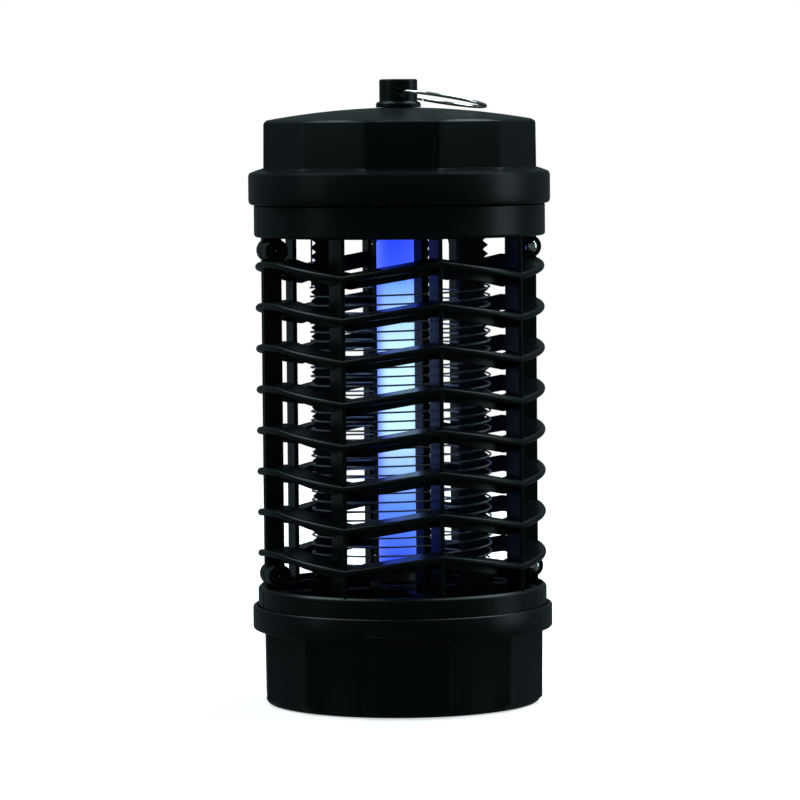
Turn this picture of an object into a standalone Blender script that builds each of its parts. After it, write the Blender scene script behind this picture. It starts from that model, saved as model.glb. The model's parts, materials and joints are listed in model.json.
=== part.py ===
"""Hanging electric bug zapper: a slatted two-piece cage around a lamp and a wound high-voltage grid,
closed by a domed electronics cap above and a twist-off catch tray below.

Lengths in this file are millimetres and angles degrees until put_mesh() turns them into metres.
+Z is up, the origin is the centre of the tray's underside and -Y is the front. A bearing is
measured from the front towards +X, and the two cage halves part in the plane Y = 0.
"""

import math

import bmesh
import bpy
from mathutils import Matrix, Vector

MM = 0.001
GAP = 0.3                # between pieces that touch
TURN_STEPS = 36          # facets in a full turn of a large shell
SMALL_STEPS = 8          # facets in a full turn of a screw, pin or boss
SIDES = 12               # flats on the cap and on the tray

# Shells
FLANGE_R = 61.8          # round rims of the cap and the tray
CAGE_R = 59.6            # skirt at the cage's top
COLLAR_R = 59.3          # collar at the cage's bottom
WALL = 2.0
CAP_CORNER_R = 57.4      # corner radius of the twelve-sided cap
TRAY_CORNER_R = 58.5     # the same for the tray
TRAY_TURN = 1.6          # the tray stops this far round from the cap's flats
TRAY_FLANGE_Z = (30.7, 40.4)
COLLAR_Z = (33.3, 48.6)
SKIRT_Z = (191.5, 204.4)
CAP_Z = (204.7, 218.0)   # the cap's round rim
CAP_SIDE_TOP_Z = 237.4   # top edge of the cap's flats
DOME_Z = 244.0
DOME_RADIUS = 280.0

# Cage
FIN_R = 59.3
FIN_INNER_R = 48.6
FIN_COUNT = 8
FIN_PITCH = 16.8
FIN_LOW_Z = 58.6         # mid-height of the lowest fin at its low points
FIN_EDGE = (-1.9, 1.0)   # lower and upper side of a fin at its outer edge
FIN_ROOT = (-4.9, 1.9)   # and at its inner edge, where the fins are deepest
FIN_WAVE = ((-90, 5.0), (-75, 5.0), (-40, 0.0), (0, 5.9), (40, 0.0), (90, 5.0))
FIN_STATIONS = (-90, -75, -57, -40, -27, -13, 0, 13, 27, 40, 57, 73, 90)
POST_R = 58.5            # how far out the front half's posts reach
REAR_POST_R = 54.0
POST_X = (-37.0, -0.3, 37.2)
REAR_POST_X = (-34.6, -0.3, 37.2)
POST_THICK = 1.8
POST_REACH = 4.0         # the posts run this far in past the fins
FLANGE_THICK = 1.9       # plates that meet in the parting plane
FLANGE_INNER_R = 50.6
LUG_X = 54.4
LUG_R = 4.8
LUG_Z = (54.2, 186.4)
LUG_LENGTH = 6.0
BOSS_LENGTH = 9.0

# Fasteners
SCREW_R = 1.3
SCREW_HOLE_R = 1.65
SCREW_HEAD_R = 2.7
SCREW_HEAD = 1.9
CAP_SCREW_RING = 46.0    # radius of the circle of cap screws

# Hanger
STUD_R = 7.8
STUD_TOP_Z = 255.5
STUD_FOOT_R = 9.2
SHANK_R = 3.9
SHANK_END_Z = 233.5
RING_AXIS_Z = 250.4
RING_HOLE_R = 2.2
RING_R = 18.8            # to the middle of the wire
RING_WIRE_R = 0.72
RING_REST = (-2.1, 10.0, -5.0)   # roll, pitch and yaw of the ring as it lies
RING_PLAY = 1.1          # the wire sits this far behind the hole's axis

# Grid
GRID_R = 36.7            # to the middle of the wire
GRID_WIRE_R = 0.47
GRID_LEAD = 7.26         # rise of each wire in one turn
GRID_BASE_Z = 56.5
GRID_TURNS = 15.5
COMB_R = 37.5
COMB_NOTCH_R = 35.5
COMB_INNER_R = 25.0
COMB_SCREW_R = 33.9
COMB_THICK = 3.0
COMB_Z = (47.3, 199.8)

# Decks and lamp
DECK_R = 57.0
DECK_Z = (200.1, 202.3)
SPIDER_Z = (43.0, 46.1)
ARM_TOP_Z = 47.0
LAMP_X = -1.8
LAMP_R = 7.8
LAMP_Z = (56.3, 190.4)
LAMP_CAP_R = 8.1
LAMP_CAP_LENGTH = 6.9
LAMP_PIN = 6.4
LAMP_PIN_X = 2.38
BOARD_SIZE = (62.0, 46.0, 1.6)
BOARD_Z = 209.0


# Mesh helpers

def material(name, colour, roughness, metallic=0.0):
    found = bpy.data.materials.get(name)
    if found:
        return found
    made = bpy.data.materials.new(name)
    made.use_nodes = True
    shader = made.node_tree.nodes["Principled BSDF"]
    shader.inputs["Base Color"].default_value = (*colour, 1.0)
    shader.inputs["Roughness"].default_value = roughness
    shader.inputs["Metallic"].default_value = metallic
    return made


def black_plastic():
    return material("black_plastic", (0.016, 0.019, 0.020), 0.42)


def nickel():
    return material("nickel", (0.72, 0.71, 0.68), 0.25, 1.0)


def grid_steel():
    return material("grid_steel", (0.70, 0.71, 0.73), 0.28, 1.0)


def uv_glass():
    return material("uv_glass", (0.35, 0.55, 1.0), 0.15)


def lamp_black():
    return material("lamp_black", (0.03, 0.03, 0.035), 0.5)


def board_green():
    return material("board_green", (0.05, 0.22, 0.10), 0.45)


def film_orange():
    return material("film_orange", (0.55, 0.16, 0.04), 0.4)


def part_black():
    return material("part_black", (0.02, 0.02, 0.022), 0.5)


def part_blue():
    return material("part_blue", (0.04, 0.10, 0.30), 0.4)


def put_mesh(name, bm, finish=None, where=(0, 0, 0), turn=(0, 0, 0), parent=None):
    """Turn a bmesh in millimetres into a named object in metres with its faces pointing out."""
    bmesh.ops.remove_doubles(bm, verts=bm.verts, dist=1e-4)
    bmesh.ops.recalc_face_normals(bm, faces=bm.faces)
    bmesh.ops.scale(bm, vec=(MM, MM, MM), verts=bm.verts)
    mesh = bpy.data.meshes.new(name)
    bm.to_mesh(mesh)
    bm.free()
    mesh.shade_smooth()
    mesh.set_sharp_from_angle(angle=math.radians(35))
    made = bpy.data.objects.new(name, mesh)
    made.location = Vector(where) * MM
    made.rotation_euler = [math.radians(a) for a in turn]
    made.parent = parent
    bpy.context.scene.collection.objects.link(made)
    if finish:
        mesh.materials.append(finish)
    else:
        made.hide_render = True
        made.display_type = "WIRE"
    return made


def combine(target, helper, operation):
    step = target.modifiers.new(helper.name, "BOOLEAN")
    step.object = helper
    step.operation = operation
    step.solver = "EXACT"


def turned(bm, outline, steps=TURN_STEPS, closed=True):
    """Spin an outline of (radius, height) pairs round Z. An open outline starts and ends on the axis."""
    corners = [bm.verts.new((0.0, -r, z)) for r, z in outline]
    pairs = list(zip(corners, corners[1:]))
    if closed:
        pairs.append((corners[-1], corners[0]))
    edges = [bm.edges.new(pair) for pair in pairs]
    bmesh.ops.spin(bm, geom=corners + edges, cent=(0, 0, 0), axis=(0, 0, 1),
                   angle=math.tau, steps=steps, use_merge=True)


def swept(bm, section, stations, rise):
    """Carry a section of (radius, height) pairs round Z from bearing to bearing, lifted by rise()."""
    first = stations[0]
    face = bm.faces.new([bm.verts.new((0.0, -r, z + rise(first))) for r, z in section])
    bmesh.ops.rotate(bm, verts=face.verts, matrix=Matrix.Rotation(math.radians(first), 3, "Z"))
    for before, after in zip(stations, stations[1:]):
        moved = bmesh.ops.extrude_face_region(bm, geom=[face])["geom"]
        verts = [item for item in moved if isinstance(item, bmesh.types.BMVert)]
        if before != first:
            bm.faces.remove(face)
        face = next(item for item in moved if isinstance(item, bmesh.types.BMFace))
        bmesh.ops.rotate(bm, verts=verts, matrix=Matrix.Rotation(math.radians(after - before), 3, "Z"))
        bmesh.ops.translate(bm, verts=verts, vec=(0, 0, rise(after) - rise(before)))


def flatten_sides(bm, chosen, turn=0.0):
    """Move round vertices onto a twelve-sided prism with a corner at bearing `turn`."""
    half = math.pi / SIDES
    for vert in bm.verts:
        radius = math.hypot(vert.co.x, vert.co.y)
        if radius > 1.0 and chosen(radius, vert.co.z):
            bearing = math.atan2(vert.co.x, -vert.co.y) - math.radians(turn)
            within = bearing % (2 * half) - half
            pull = math.cos(half) / math.cos(within)
            vert.co.x *= pull
            vert.co.y *= pull


def block(bm, low, high):
    centre = [(a + b) / 2 for a, b in zip(low, high)]
    size = [b - a for a, b in zip(low, high)]
    bmesh.ops.create_cube(bm, size=1.0, matrix=Matrix.Translation(centre) @ Matrix.Diagonal((*size, 1)))


def rod(bm, start, end, radius, steps=SMALL_STEPS):
    """A closed round bar from one point to another."""
    start, end = Vector(start), Vector(end)
    along = end - start
    place = Matrix.Translation((start + end) / 2) @ along.to_track_quat("Z", "Y").to_matrix().to_4x4()
    bmesh.ops.create_cone(bm, cap_ends=True, segments=steps, radius1=radius, radius2=radius,
                          depth=along.length, matrix=place)


def slab(bm, outline, thickness):
    """Extrude an outline of (x, z) pairs through Y, centred on Y = 0."""
    face = bm.faces.new([bm.verts.new((x, -thickness / 2, z)) for x, z in outline])
    moved = bmesh.ops.extrude_face_region(bm, geom=[face])["geom"]
    verts = [item for item in moved if isinstance(item, bmesh.types.BMVert)]
    bmesh.ops.translate(bm, verts=verts, vec=(0, thickness, 0))


def at_bearing(radius, bearing, z=0.0):
    angle = math.radians(bearing)
    return Vector((radius * math.sin(angle), -radius * math.cos(angle), z))


# Cap and hanger

def dome_height(radius):
    return DOME_Z - radius ** 2 / (2 * DOME_RADIUS)


def cap_screw_places():
    return [at_bearing(CAP_SCREW_RING, 45 + 90 * quarter) for quarter in range(4)]


def make_top_cap():
    bottom, rim_top = CAP_Z
    shank_hole = SHANK_R + 0.4
    inner_r = FLANGE_R - WALL
    inner_corner = CAP_CORNER_R - 2.1
    outside = [(inner_r, bottom), (FLANGE_R - 1.2, bottom), (FLANGE_R - 0.3, bottom + 0.6),
               (FLANGE_R, bottom + 1.8), (FLANGE_R, rim_top - 1.6), (FLANGE_R - 0.5, rim_top - 0.4),
               (FLANGE_R - 1.4, rim_top), (CAP_CORNER_R, rim_top + 1.2), (CAP_CORNER_R - 0.2, CAP_SIDE_TOP_Z),
               (CAP_CORNER_R - 1.0, dome_height(CAP_CORNER_R - 1.0))]
    outside += [(r, dome_height(r)) for r in (34.0, shank_hole)]
    inside = [(r, dome_height(r) - WALL) for r in (shank_hole, 34.0)]
    inside += [(inner_corner, CAP_SIDE_TOP_Z - 1.4), (inner_corner, rim_top - WALL),
               (inner_r, rim_top - 2 * WALL)]
    bm = bmesh.new()
    turned(bm, outside + inside)
    flatten_sides(bm, lambda r, z: 50.0 < r < 58.0 and z > 215.0)
    cap = put_mesh("top_cap", bm, black_plastic())

    bosses = bmesh.new()
    holes = bmesh.new()
    for place in cap_screw_places():
        foot = DECK_Z[1] + GAP
        rod(bosses, place + Vector((0, 0, foot)), place + Vector((0, 0, CAP_SIDE_TOP_Z + 0.6)), 3.6)
        rod(holes, place + Vector((0, 0, foot - 1)), place + Vector((0, 0, foot + 13)), SCREW_HOLE_R)
    rod(holes, at_bearing(45, 195, 226), at_bearing(70, 195, 226), 4.9, 16)
    combine(cap, put_mesh("cap_bosses", bosses, parent=cap), "UNION")
    combine(cap, put_mesh("cap_holes", holes, parent=cap), "DIFFERENCE")


def make_cord_inlet_bush():
    """Bush for the mains lead, in the rear flat of the cap beside the rear corner."""
    outline = [(3.0, -5.0), (4.5, -5.0), (4.5, GAP), (6.8, GAP), (6.8, 1.4), (5.6, 2.4), (3.0, 2.4)]
    bm = bmesh.new()
    turned(bm, outline, 16)
    flat = CAP_CORNER_R * math.cos(math.pi / SIDES)
    put_mesh("cord_inlet_bush", bm, part_black(), at_bearing(flat, 195, 226), (90, 0, 15 + 180))


def make_hanger():
    foot = DOME_Z + GAP
    outline = [(0, SHANK_END_Z), (SHANK_R, SHANK_END_Z), (SHANK_R, foot), (STUD_FOOT_R, foot),
               (STUD_FOOT_R, foot + 1.9), (STUD_R, foot + 2.1), (STUD_R, STUD_TOP_Z - 0.5),
               (STUD_R - 0.5, STUD_TOP_Z), (0, STUD_TOP_Z)]
    bm = bmesh.new()
    turned(bm, outline, 24, closed=False)
    stud = put_mesh("hanger_stud", bm, black_plastic())
    hole = bmesh.new()
    rod(hole, (0, -12, RING_AXIS_Z), (0, 12, RING_AXIS_Z), RING_HOLE_R)
    combine(stud, put_mesh("ring_hole", hole, parent=stud), "DIFFERENCE")

    nut_top = DOME_Z - WALL - GAP
    bore = (SHANK_R + GAP) / math.cos(math.pi / 6)
    bm = bmesh.new()
    turned(bm, [(bore, nut_top - 5), (7.0, nut_top - 5), (7.0, nut_top), (bore, nut_top)], 6)
    put_mesh("hanger_nut", bm, nickel())


def make_hanging_ring():
    """Split ring through the stud's cross hole; its object turns about the hole's axis."""
    bm = bmesh.new()
    wire = [(RING_R + RING_WIRE_R * math.cos(a), RING_WIRE_R * math.sin(a))
            for a in (math.tau * k / 6 for k in range(6))]
    turned(bm, wire, 32)
    bmesh.ops.translate(bm, verts=bm.verts, vec=(RING_R - RING_PLAY, 0, 0))
    put_mesh("hanging_ring", bm, nickel(), (0, 0, RING_AXIS_Z), RING_REST)


# Cage halves

def fin_rise(bearing):
    """Height of the folded fins above their low points at a bearing of the front half."""
    for (start, low), (end, high) in zip(FIN_WAVE, FIN_WAVE[1:]):
        if bearing <= end:
            return low + (high - low) * (bearing - start) / (end - start)
    return FIN_WAVE[-1][1]


def add_half_hoop(bm, section):
    swept(bm, section, range(-90, 91, 10), lambda bearing: 0.0)


def cage_hoops():
    """Skirt, collar and fins of the front half, none of them touching another."""
    bm = bmesh.new()
    low, high = SKIRT_Z
    inner = CAGE_R - WALL
    ledge = DECK_Z[0] - GAP
    add_half_hoop(bm, [(inner, high), (CAGE_R, high), (CAGE_R, low + 0.8), (CAGE_R - 0.8, low), (inner, low),
                       (inner, ledge - 2.2), (51.0, ledge - 2.2), (51.0, ledge), (inner, ledge)])
    low, high = COLLAR_Z
    inner = COLLAR_R - WALL
    ledge = SPIDER_Z[0] - GAP
    add_half_hoop(bm, [(inner, low), (inner, ledge - 2), (52.5, ledge - 2), (52.5, ledge), (inner, ledge),
                       (inner, high), (COLLAR_R - 1.2, high), (COLLAR_R, high - 1.2), (COLLAR_R, low)])
    for level in range(FIN_COUNT):
        middle = FIN_LOW_Z + FIN_PITCH * level
        section = [(FIN_INNER_R, middle + FIN_ROOT[0]), (FIN_INNER_R, middle + FIN_ROOT[1]),
                   (FIN_R, middle + FIN_EDGE[1]), (FIN_R, middle + FIN_EDGE[0])]
        swept(bm, section, FIN_STATIONS, fin_rise)
    return bm


def cage_posts(reach, places):
    """Upright plates: three lie along the mould's draw, two meet the other half in the parting plane."""
    bm = bmesh.new()
    low, high = ARM_TOP_Z + 2 * GAP, SKIRT_Z[0] + 1.0
    for x in places:
        outer = -math.sqrt(reach ** 2 - x ** 2)
        inner = POST_REACH - math.sqrt(FIN_INNER_R ** 2 - x ** 2)
        block(bm, (x - POST_THICK / 2, outer, low), (x + POST_THICK / 2, inner, high))
    for side in (-1, 1):
        ends = sorted((side * FLANGE_INNER_R, side * (FIN_R - 1.0)))
        block(bm, (ends[0], -FLANGE_THICK, low), (ends[1], 0, high))
    return bm


def cage_lugs():
    bm = bmesh.new()
    for z in LUG_Z:
        rod(bm, (LUG_X, -LUG_LENGTH, z), (LUG_X, 0, z), LUG_R, 12)
        rod(bm, (-LUG_X, -BOSS_LENGTH, z), (-LUG_X, 0, z), LUG_R, 12)
    return bm


def cage_screw_holes():
    bm = bmesh.new()
    for z in LUG_Z:
        for side in (-1, 1):
            rod(bm, (side * LUG_X, -20, z), (side * LUG_X, 5, z), SCREW_HOLE_R)
    return bm


def make_cage_half(name, turn, post_reach, post_places):
    """The rear half is shaped like the front one turned half way round, but for its posts."""
    half_gap = Matrix.Rotation(math.radians(turn), 3, "Z") @ Vector((0, -GAP / 2, 0))
    cage = put_mesh(name, cage_hoops(), black_plastic(), half_gap, (0, 0, turn))
    combine(cage, put_mesh(name + "_posts", cage_posts(post_reach, post_places), parent=cage), "UNION")
    combine(cage, put_mesh(name + "_lugs", cage_lugs(), parent=cage), "UNION")
    combine(cage, put_mesh(name + "_holes", cage_screw_holes(), parent=cage), "DIFFERENCE")


def make_screw(name, head_seat, turn, length, shank=SCREW_R, head=SCREW_HEAD_R):
    """Pan-head screw: local +Z points out of its head, whose underside is the origin."""
    bm = bmesh.new()
    turned(bm, [(0, -length), (shank, -length + 1.2), (shank, 0), (head, 0), (head, SCREW_HEAD * 0.55),
                (head * 0.6, SCREW_HEAD), (0, SCREW_HEAD)], 8, closed=False)
    put_mesh(name, bm, nickel(), head_seat, turn)


def make_cage_screws():
    seat = LUG_LENGTH + 1.5 * GAP
    length = seat + BOSS_LENGTH - 0.4
    for level, z in zip(("lower", "upper"), LUG_Z):
        make_screw("cage_screw_front_" + level, (LUG_X, -seat, z), (90, 0, 0), length)
        make_screw("cage_screw_rear_" + level, (-LUG_X, seat, z), (-90, 0, 0), length)


# Decks, lamp and grid

def lead_places():
    """Where the two grid wires pass through the deck, just behind the side combs."""
    return [at_bearing(GRID_R, bearing) for bearing in (95, 265)]


def make_upper_deck():
    low, high = DECK_Z
    bm = bmesh.new()
    turned(bm, [(0, low), (DECK_R, low), (DECK_R, high), (0, high)], closed=False)
    deck = put_mesh("upper_deck", bm, black_plastic())
    posts = bmesh.new()
    holes = bmesh.new()
    for x in (-27, 27):
        for y in (-19, 19):
            rod(posts, (x, y, low + 1), (x, y, BOARD_Z - GAP), 2.8)
    for x, y in board_screw_places():
        rod(holes, (x, y, low - 1), (x, y, BOARD_Z + 1), SCREW_HOLE_R)
    for place in cap_screw_places() + lead_places():
        rod(holes, place + Vector((0, 0, low - 1)), place + Vector((0, 0, high + 1)), SCREW_HOLE_R)
    rod(holes, (LAMP_X, 0, low - 1), (LAMP_X, 0, high + 1), 10.4, 24)
    combine(deck, put_mesh("deck_posts", posts, parent=deck), "UNION")
    combine(deck, put_mesh("deck_holes", holes, parent=deck), "DIFFERENCE")
    for number, place in enumerate(cap_screw_places(), 1):
        seat = place + Vector((0, 0, low - GAP))
        make_screw("cap_screw_%d" % number, seat, (180, 0, 0), 13.5)


def make_lower_spider():
    low, high = SPIDER_Z
    bm = bmesh.new()
    turned(bm, [(53.0, low), (56.9, low), (56.9, high), (53.0, high)])
    turned(bm, [(9.1, low - 3), (13.0, low - 3), (13.0, high), (9.1, high)], 24)
    bmesh.ops.translate(bm, verts=[v for v in bm.verts if v.co.length < 50], vec=(LAMP_X, 0, 0))
    spider = put_mesh("lower_spider", bm, black_plastic())
    holes = bmesh.new()
    for number, bearing in enumerate((0, 90, 180, 270)):
        arm = bmesh.new()
        block(arm, (-4, -53.6, low), (4, -14.5 if bearing in (0, 180) else -14.3, ARM_TOP_Z))
        helper = put_mesh("spider_arm_%d" % number, arm, turn=(0, 0, bearing), parent=spider)
        combine(spider, helper, "UNION")
        place = at_bearing(COMB_SCREW_R, bearing)
        rod(holes, place + Vector((0, 0, low - 1)), place + Vector((0, 0, ARM_TOP_Z + 1)), SCREW_HOLE_R)
    combine(spider, put_mesh("spider_holes", holes, parent=spider), "DIFFERENCE")


def make_lamp():
    low, high = LAMP_Z
    bm = bmesh.new()
    rod(bm, (0, 0, low), (0, 0, high), LAMP_R, 24)
    put_mesh("lamp_tube", bm, uv_glass(), (LAMP_X, 0, 0))
    for name, end, out in (("lamp_cap_lower", low - GAP, -1), ("lamp_cap_upper", high + GAP, 1)):
        face = end + out * LAMP_CAP_LENGTH
        bm = bmesh.new()
        rod(bm, (0, 0, end), (0, 0, face), LAMP_CAP_R, 24)
        cap = put_mesh(name, bm, lamp_black(), (LAMP_X, 0, 0))
        pins = bmesh.new()
        for side in (-1, 1):
            rod(pins, (side * LAMP_PIN_X, 0, face - out), (side * LAMP_PIN_X, 0, face + out * LAMP_PIN), 1.1, 8)
        combine(cap, put_mesh(name + "_pins", pins, parent=cap), "UNION")


def make_lamp_holder(name, face, out, outline):
    """A lamp holder whose open face is at height `face` and whose body runs towards `out`."""
    bm = bmesh.new()
    turned(bm, [(r, face + out * depth) for r, depth in outline], 24, closed=False)
    holder = put_mesh(name, bm, lamp_black(), (LAMP_X, 0, 0))
    holes = bmesh.new()
    for side in (-1, 1):
        rod(holes, (side * LAMP_PIN_X, 0, face - out), (side * LAMP_PIN_X, 0, face + out * (LAMP_PIN + 0.8)), 1.5)
    combine(holder, put_mesh(name + "_sockets", holes, parent=holder), "DIFFERENCE")


def make_lamp_holders():
    upper_face = LAMP_Z[1] + 2 * GAP + LAMP_CAP_LENGTH
    lower_face = LAMP_Z[0] - 2 * GAP - LAMP_CAP_LENGTH
    flange = DECK_Z[0] - GAP - upper_face
    make_lamp_holder("upper_lamp_holder", upper_face, 1,
                     [(0, 0), (13.0, 0), (13.0, flange), (10.0, flange), (10.0, 10.0), (0, 10.0)])
    flange = lower_face - SPIDER_Z[1] - GAP
    make_lamp_holder("lower_lamp_holder", lower_face, -1,
                     [(0, 0), (11.6, 0), (11.6, flange), (8.7, flange), (8.7, 10.2), (0, 10.2)])


def comb_outline(bearing):
    """Side view of a comb with a notch wherever one of the two wires crosses it."""
    low, high = COMB_Z
    pitch = GRID_LEAD / 2
    notch = GRID_BASE_Z + pitch * ((bearing / 180) % 1) - 3 * pitch
    edge = [(COMB_INNER_R - 0.9, low), (COMB_R + 1.4, low), (COMB_R + 1.4, low + 3), (COMB_R - 1, low + 3)]
    while notch + pitch / 2 < high:
        if notch - pitch / 2 > low + 3:
            edge += [(COMB_R, notch - pitch / 2), (COMB_NOTCH_R, notch)]
        notch += pitch
    edge += [(COMB_R, notch - pitch / 2), (COMB_R, high), (COMB_INNER_R, high),
             (COMB_INNER_R, low + 3), (COMB_INNER_R - 0.9, low + 3)]
    return edge


def make_grid_combs():
    for name, bearing in (("front", 0), ("right", 90), ("rear", 180), ("left", 270)):
        bm = bmesh.new()
        slab(bm, comb_outline(bearing), COMB_THICK)
        comb = put_mesh("grid_comb_" + name, bm, black_plastic(), turn=(0, 0, bearing - 90))
        hole = bmesh.new()
        rod(hole, (COMB_SCREW_R, 0, COMB_Z[0] - 1), (COMB_SCREW_R, 0, COMB_Z[0] + 6), 1.05, 8)
        combine(comb, put_mesh("comb_hole_" + name, hole, parent=comb), "DIFFERENCE")
        seat = at_bearing(COMB_SCREW_R, bearing, SPIDER_Z[0] - GAP)
        make_screw("comb_screw_" + name, seat, (180, 0, 0), 9.0, shank=0.72, head=2.3)


def make_grid_wire(name, first_bearing, offset):
    """One of the two interleaved windings, with its tail rising behind a comb and through the deck."""
    last_bearing = first_bearing + 360 * GRID_TURNS
    inner = [b for b in range(0, int(last_bearing), 30) if b > first_bearing + 1]
    bearings = [first_bearing] + inner + [last_bearing]
    path = [at_bearing(GRID_R, b, GRID_BASE_Z - offset + GRID_LEAD * b / 360) for b in bearings]
    path.append(at_bearing(GRID_R, last_bearing, DECK_Z[1] + 3.5))
    curve = bpy.data.curves.new(name + "_path", "CURVE")
    curve.dimensions = "3D"
    curve.bevel_depth = GRID_WIRE_R * MM
    curve.bevel_resolution = 0
    curve.use_fill_caps = True
    spline = curve.splines.new("POLY")
    spline.points.add(len(path) - 1)
    for point, place in zip(spline.points, path):
        point.co = (*(place * MM), 1.0)
    curve.materials.append(grid_steel())
    bpy.context.scene.collection.objects.link(bpy.data.objects.new(name, curve))


# Electronics

def board_screw_places():
    return [(-27, 19), (27, -19)]


def make_circuit_board():
    width, depth, thick = BOARD_SIZE
    bm = bmesh.new()
    block(bm, (-width / 2, -depth / 2, BOARD_Z), (width / 2, depth / 2, BOARD_Z + thick))
    board = put_mesh("circuit_board", bm, board_green())
    holes = bmesh.new()
    for x, y in board_screw_places():
        rod(holes, (x, y, BOARD_Z - 1), (x, y, BOARD_Z + 4), SCREW_HOLE_R)
    combine(board, put_mesh("board_holes", holes, parent=board), "DIFFERENCE")
    for number, (x, y) in enumerate(board_screw_places(), 1):
        make_screw("board_screw_%d" % number, (x, y, BOARD_Z + thick + GAP), (0, 0, 0), 8.0)


def make_board_parts():
    top = BOARD_Z + BOARD_SIZE[2] + GAP
    boxes = [("ballast_transformer", (-24, -12), (19, 17, 15), part_black())]
    boxes += [("film_capacitor_%d" % (k + 1), (9, -16 + 7 * k), (13, 5, 11), film_orange())
              for k in range(4)]
    boxes.append(("terminal_block", (-24, 10), (9, 10, 10), part_blue()))
    for name, (x, y), (width, depth, height), finish in boxes:
        bm = bmesh.new()
        block(bm, (x - width / 2, y - depth / 2, top), (x + width / 2, y + depth / 2, top + height))
        put_mesh(name, bm, finish)
    rods = [("smoothing_capacitor", (-6, 14, top), (-6, 14, top + 15), 5.0, 16, part_blue()),
            ("fuse", (-14, -20, top + 2.6), (0, -20, top + 2.6), 2.5, 12, grid_steel()),
            ("bleed_resistor", (-12, 3, top + 1.7), (-3, 3, top + 1.7), 1.6, 12, film_orange())]
    rods += [("rectifier_diode_%d" % (k + 1), (20, -11 + 7 * k, top + 1.6), (27, -11 + 7 * k, top + 1.6),
              1.5, 12, part_black()) for k in range(4)]
    for name, start, end, radius, steps, finish in rods:
        bm = bmesh.new()
        rod(bm, start, end, radius, steps)
        put_mesh(name, bm, finish)


# Tray

def make_catch_tray():
    low, high = TRAY_FLANGE_Z
    bore = COLLAR_R + 0.6
    seat = COLLAR_Z[0] - GAP
    corner = TRAY_CORNER_R
    outline = [(0, 0), (corner - 1.4, 0), (corner - 0.7, 0.4), (corner - 0.4, 1.4), (corner, low),
               (61.0, low), (FLANGE_R, low + 0.8), (FLANGE_R, high - 0.8), (61.0, high), (bore, high),
               (bore, seat), (corner - WALL, seat), (corner - WALL - 0.4, 2.0), (0, 2.0)]
    bm = bmesh.new()
    turned(bm, outline, closed=False)
    bmesh.ops.rotate(bm, verts=bm.verts, matrix=Matrix.Rotation(math.radians(TRAY_TURN), 3, "Z"))
    flatten_sides(bm, lambda r, z: 50.0 < r < 59.0, TRAY_TURN)
    put_mesh("catch_tray", bm, black_plastic())


def clear_scene():
    for leftover in list(bpy.data.objects):
        bpy.data.objects.remove(leftover)


def main():
    clear_scene()
    make_top_cap()
    make_cord_inlet_bush()
    make_hanger()
    make_hanging_ring()
    make_cage_half("cage_front", 0, POST_R, POST_X)
    make_cage_half("cage_rear", 180, REAR_POST_R, REAR_POST_X)
    make_cage_screws()
    make_upper_deck()
    make_lower_spider()
    make_lamp()
    make_lamp_holders()
    make_grid_combs()
    make_grid_wire("live_grid_wire", 85, 0.0)
    make_grid_wire("return_grid_wire", 275, GRID_LEAD / 2)
    make_circuit_board()
    make_board_parts()
    make_catch_tray()


main()
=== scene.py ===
"""Finished surfaces for a hanging electric bug zapper: shells, cage, lit lamp, wire grid and stage.

Shapes are modelled in millimetres and put_piece() turns them into metres in the frame's own axes: +Z up,
-Y the front. A bearing is measured in degrees from the front towards +X.
"""
import json
import math

import bmesh
import bpy
from mathutils import Matrix, Vector


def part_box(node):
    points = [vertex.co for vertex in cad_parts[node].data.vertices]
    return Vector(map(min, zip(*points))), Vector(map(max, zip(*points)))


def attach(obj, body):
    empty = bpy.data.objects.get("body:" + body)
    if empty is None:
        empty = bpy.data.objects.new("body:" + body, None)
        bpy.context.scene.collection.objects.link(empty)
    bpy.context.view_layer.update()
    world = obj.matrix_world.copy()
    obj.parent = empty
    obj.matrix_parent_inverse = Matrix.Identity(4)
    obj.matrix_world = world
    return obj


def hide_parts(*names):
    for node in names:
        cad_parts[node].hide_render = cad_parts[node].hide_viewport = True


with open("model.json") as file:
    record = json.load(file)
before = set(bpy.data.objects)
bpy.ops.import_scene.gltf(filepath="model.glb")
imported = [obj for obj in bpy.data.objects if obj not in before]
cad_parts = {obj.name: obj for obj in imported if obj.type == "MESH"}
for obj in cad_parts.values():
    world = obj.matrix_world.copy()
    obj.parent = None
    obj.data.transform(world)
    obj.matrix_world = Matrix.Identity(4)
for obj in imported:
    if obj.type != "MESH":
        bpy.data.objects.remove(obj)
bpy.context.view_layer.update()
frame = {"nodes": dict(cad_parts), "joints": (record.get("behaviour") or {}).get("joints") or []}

bl_info = {
    "name": "Bug Zapper Finish",
    "version": (1, 0, 0),
    "blender": (4, 5, 0),
    "location": "3D View > Sidebar > Zapper",
    "description": "Builds the finished surfaces of a hanging bug zapper around its fixed frame",
    "category": "Object",
}

MM = 0.001
ROUND_STEPS = 144        # facets in a full turn of a large shell
SMALL_STEPS = 32         # and of a boss, screw or stud
SIDES = 12               # flats on the cap and on the tray
CREASE = math.radians(24)
FOLD = math.radians(35)


def corners(node):
    """Lowest and highest corner of a frame node, in millimetres."""
    low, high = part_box(node)
    return low / MM, high / MM


def middle(node):
    low, high = corners(node)
    return (low + high) / 2


# Settings that a user would change

def length(name, text, default):
    return bpy.props.FloatProperty(name=name, description=text, default=default * MM, unit="LENGTH",
                                   precision=5)


def angle(name, text, default):
    return bpy.props.FloatProperty(name=name, description=text, default=math.radians(default),
                                   subtype="ANGLE")


def colour(name, text, default):
    return bpy.props.FloatVectorProperty(name=name, description=text, default=default, subtype="COLOR",
                                         size=3, min=0.0, max=1.0)


def factor(name, text, default):
    return bpy.props.FloatProperty(name=name, description=text, default=default, min=0.0, max=1.0,
                                   subtype="FACTOR")


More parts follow.
